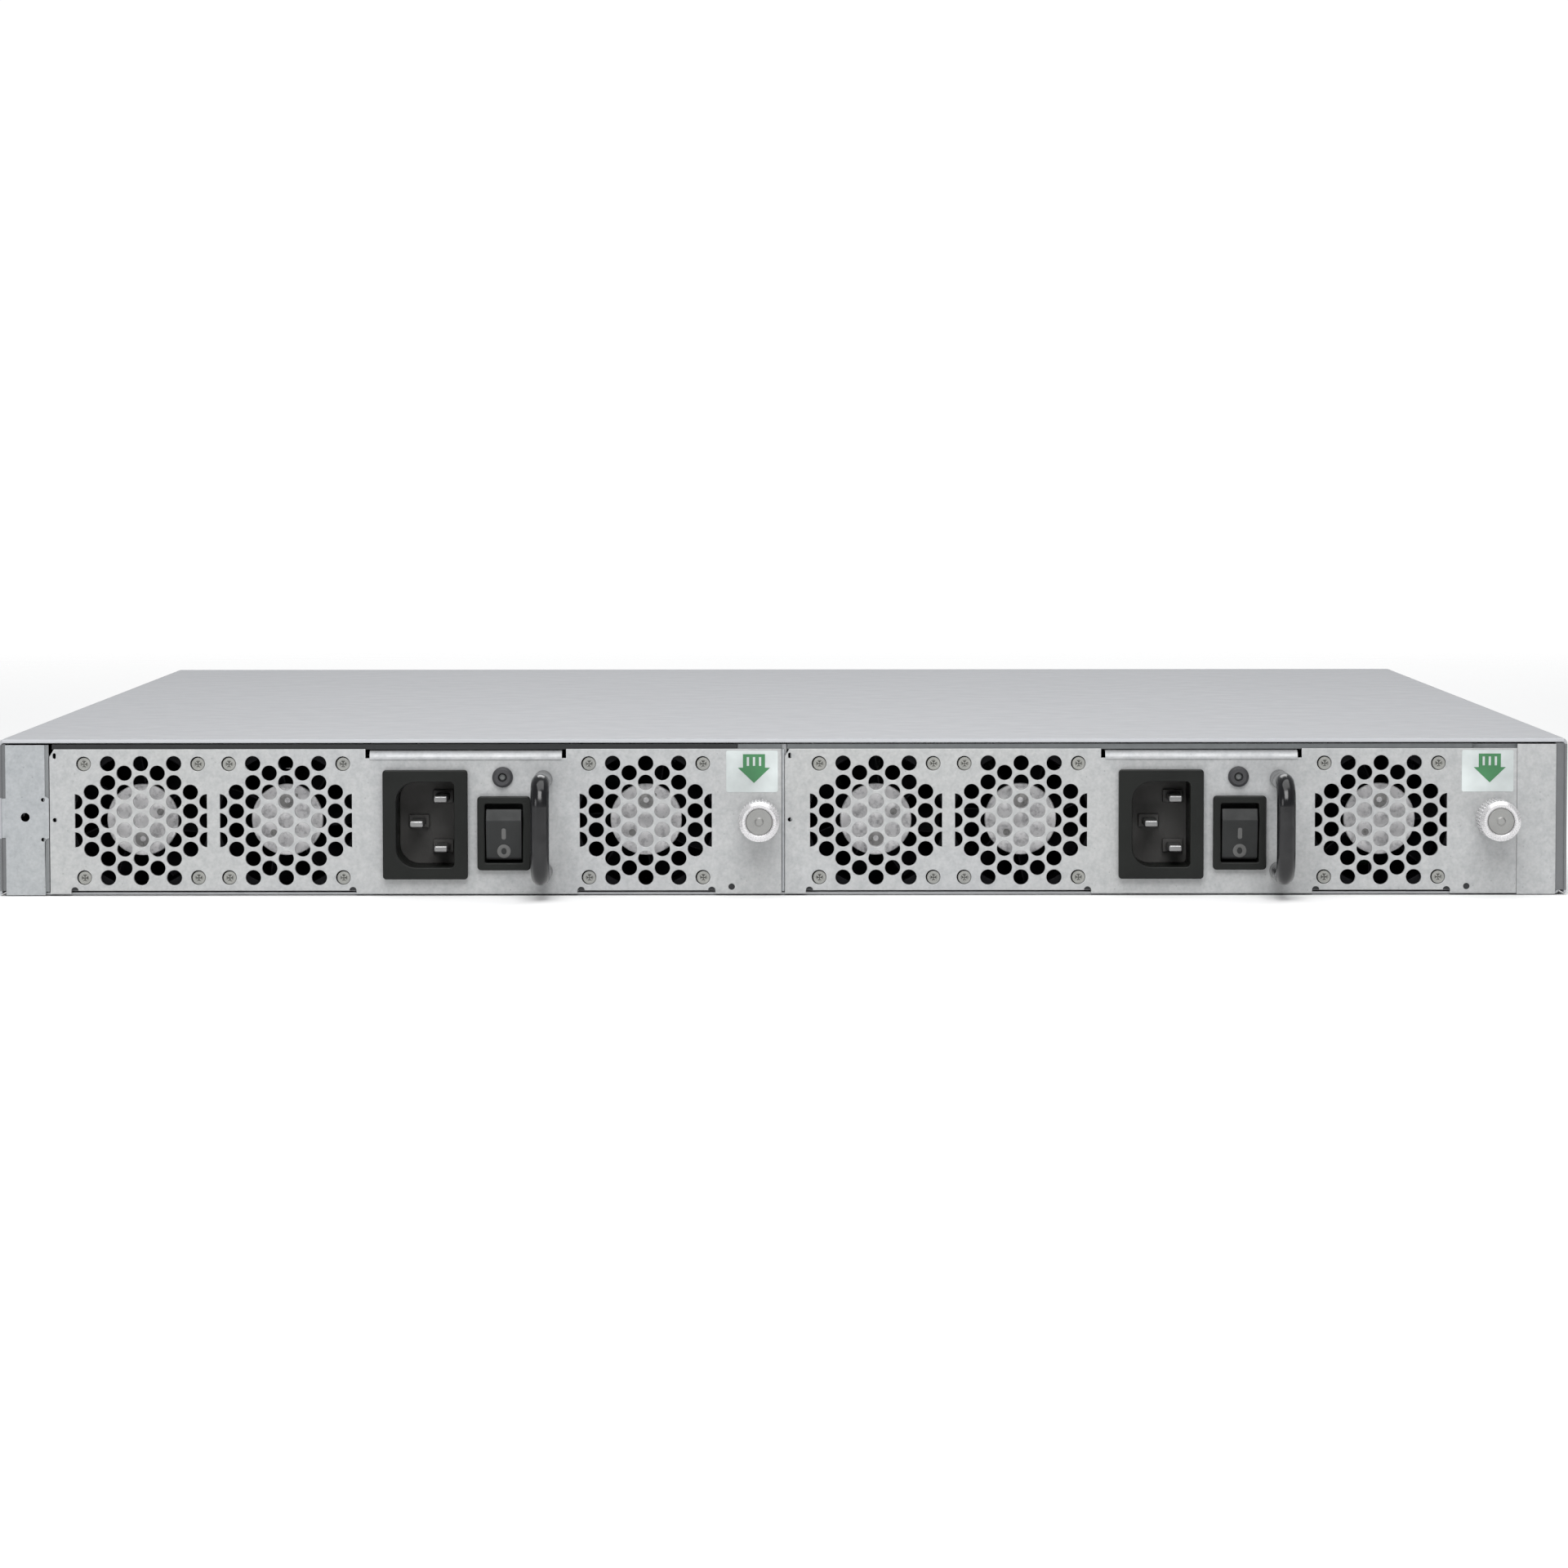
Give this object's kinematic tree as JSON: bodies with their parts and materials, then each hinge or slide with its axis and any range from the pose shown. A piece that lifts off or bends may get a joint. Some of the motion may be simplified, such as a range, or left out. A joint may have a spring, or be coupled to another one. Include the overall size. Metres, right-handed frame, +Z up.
{
  "type": "rackmount network switch",
  "caption": "One-unit rackmount switch with two withdrawable power-and-fan modules, pluggable optical ports, pull handles and captive thumbscrews.",
  "frame": {"origin": "centre of the chassis' bottom face", "axes": "+Y from the module side (fans, inlets, handles) to the port side, +X to the right when facing the module side, +Z up"},
  "size_m": [0.44, 0.4691, 0.044],
  "materials": {
    "silver_paint": "satin silver-grey paint",
    "plate_paint": "fine mottled grey plating",
    "zinc_steel": "zinc-plated sheet",
    "black_plastic": "fine texture",
    "fan_plastic": "moulded, satin",
    "black_coat": "smooth glossy coat",
    "nickel_plate": "bright nickel",
    "bare_aluminium": "extruded",
    "circuit_board": "green solder mask",
    "chip_package": "moulded",
    "winding_tape": "polyester tape",
    "capacitor_sleeve": "shrink sleeve",
    "light_pipe": "clear moulded",
    "label": "printed film"
  },
  "bodies": {
    "chassis": {"chassis_base": "zinc_steel", "top_cover": "silver_paint", "port_panel": "plate_paint", "main_board": "circuit_board", "switch_chip": "chip_package", "switch_heatsink": "bare_aluminium", "bay_divider": "zinc_steel", "sfp_cage_1": "nickel_plate", "sfp_cage_2": "nickel_plate", "management_jack": "nickel_plate", "console_jack": "nickel_plate", "usb_port": "nickel_plate", "status_light_pipe": "light_pipe", "bay_connector_1": "black_plastic", "bay_connector_2": "black_plastic"},
    "psu_1": {"psu_1_faceplate": "plate_paint", "psu_1_tray": "zinc_steel", "psu_1_cover": "zinc_steel", "psu_1_power_board": "circuit_board", "psu_1_transformer": "winding_tape", "psu_1_bulk_capacitor": "capacitor_sleeve", "psu_1_heatsink": "bare_aluminium", "psu_1_edge_connector": "black_plastic", "psu_1_power_inlet": "black_plastic", "psu_1_switch_body": "black_plastic", "psu_1_status_led": "black_plastic", "psu_1_handle": "black_coat", "psu_1_thumbscrew_ferrule": "nickel_plate", "psu_1_fan_1_frame": "fan_plastic", "psu_1_fan_2_frame": "fan_plastic", "psu_1_fan_3_frame": "fan_plastic"},
    "psu_1_rocker": {"psu_1_rocker": "black_plastic"},
    "psu_1_thumbscrew_washer": {"psu_1_thumbscrew_washer": "black_plastic"},
    "psu_1_thumbscrew": {"psu_1_thumbscrew": "nickel_plate"},
    "psu_1_fan_1_rotor": {"psu_1_fan_1_rotor": "fan_plastic"},
    "psu_1_fan_2_rotor": {"psu_1_fan_2_rotor": "fan_plastic"},
    "psu_1_fan_3_rotor": {"psu_1_fan_3_rotor": "fan_plastic"},
    "psu_2": {"psu_2_faceplate": "plate_paint", "psu_2_tray": "zinc_steel", "psu_2_cover": "zinc_steel", "psu_2_power_board": "circuit_board", "psu_2_transformer": "winding_tape", "psu_2_bulk_capacitor": "capacitor_sleeve", "psu_2_heatsink": "bare_aluminium", "psu_2_edge_connector": "black_plastic", "psu_2_power_inlet": "black_plastic", "psu_2_switch_body": "black_plastic", "psu_2_status_led": "black_plastic", "psu_2_handle": "black_coat", "psu_2_thumbscrew_ferrule": "nickel_plate", "psu_2_fan_1_frame": "fan_plastic", "psu_2_fan_2_frame": "fan_plastic", "psu_2_fan_3_frame": "fan_plastic"},
    "psu_2_rocker": {"psu_2_rocker": "black_plastic"},
    "psu_2_thumbscrew_washer": {"psu_2_thumbscrew_washer": "black_plastic"},
    "psu_2_thumbscrew": {"psu_2_thumbscrew": "nickel_plate"},
    "psu_2_fan_1_rotor": {"psu_2_fan_1_rotor": "fan_plastic"},
    "psu_2_fan_2_rotor": {"psu_2_fan_2_rotor": "fan_plastic"},
    "psu_2_fan_3_rotor": {"psu_2_fan_3_rotor": "fan_plastic"}
  },
  "joints": [
    {"name": "psu_1_withdraw", "type": "slide", "parent": "chassis", "child": "psu_1", "axis": [0, -1, 0], "range_m": [0, 0.2]},
    {"name": "psu_1_power_switch", "type": "hinge", "parent": "psu_1", "child": "psu_1_rocker", "pos_m": [-0.07825, -0.2206, 0.0175], "axis": [-1, 0, 0], "range_deg": [0, 18]},
    {"name": "psu_1_thumbscrew_travel", "type": "slide", "parent": "psu_1", "child": "psu_1_thumbscrew_washer", "axis": [0, -1, 0], "range_m": [0, 0.0049]},
    {"name": "psu_1_thumbscrew_turn", "type": "hinge", "parent": "psu_1_thumbscrew_washer", "child": "psu_1_thumbscrew", "pos_m": [-0.0066, -0.2215, 0.0215], "axis": [0, -1, 0], "range_deg": [0, 2520]},
    {"name": "psu_1_fan_1_spin", "type": "hinge", "parent": "psu_1", "child": "psu_1_fan_1_rotor", "pos_m": [-0.1802, -0.2165, 0.021], "axis": [0, -1, 0], "continuous": true},
    {"name": "psu_1_fan_2_spin", "type": "hinge", "parent": "psu_1", "child": "psu_1_fan_2_rotor", "pos_m": [-0.1395, -0.2165, 0.021], "axis": [0, -1, 0], "continuous": true},
    {"name": "psu_1_fan_3_spin", "type": "hinge", "parent": "psu_1", "child": "psu_1_fan_3_rotor", "pos_m": [-0.0385, -0.2165, 0.021], "axis": [0, -1, 0], "continuous": true},
    {"name": "psu_2_withdraw", "type": "slide", "parent": "chassis", "child": "psu_2", "axis": [0, -1, 0], "range_m": [0, 0.2]},
    {"name": "psu_2_power_switch", "type": "hinge", "parent": "psu_2", "child": "psu_2_rocker", "pos_m": [0.1281, -0.2206, 0.0175], "axis": [-1, 0, 0], "range_deg": [0, 18]},
    {"name": "psu_2_thumbscrew_travel", "type": "slide", "parent": "psu_2", "child": "psu_2_thumbscrew_washer", "axis": [0, -1, 0], "range_m": [0, 0.0049]},
    {"name": "psu_2_thumbscrew_turn", "type": "hinge", "parent": "psu_2_thumbscrew_washer", "child": "psu_2_thumbscrew", "pos_m": [0.19975, -0.2215, 0.0215], "axis": [0, -1, 0], "range_deg": [0, 2520]},
    {"name": "psu_2_fan_1_spin", "type": "hinge", "parent": "psu_2", "child": "psu_2_fan_1_rotor", "pos_m": [0.02615, -0.2165, 0.021], "axis": [0, -1, 0], "continuous": true},
    {"name": "psu_2_fan_2_spin", "type": "hinge", "parent": "psu_2", "child": "psu_2_fan_2_rotor", "pos_m": [0.06685, -0.2165, 0.021], "axis": [0, -1, 0], "continuous": true},
    {"name": "psu_2_fan_3_spin", "type": "hinge", "parent": "psu_2", "child": "psu_2_fan_3_rotor", "pos_m": [0.16785, -0.2165, 0.021], "axis": [0, -1, 0], "continuous": true}
  ],
  "couplings": [
    {"joint": "psu_1_thumbscrew_turn", "follows": "psu_1_thumbscrew_travel", "rad_per_m": 8975},
    {"joint": "psu_2_thumbscrew_turn", "follows": "psu_2_thumbscrew_travel", "rad_per_m": 8975}
  ]
}
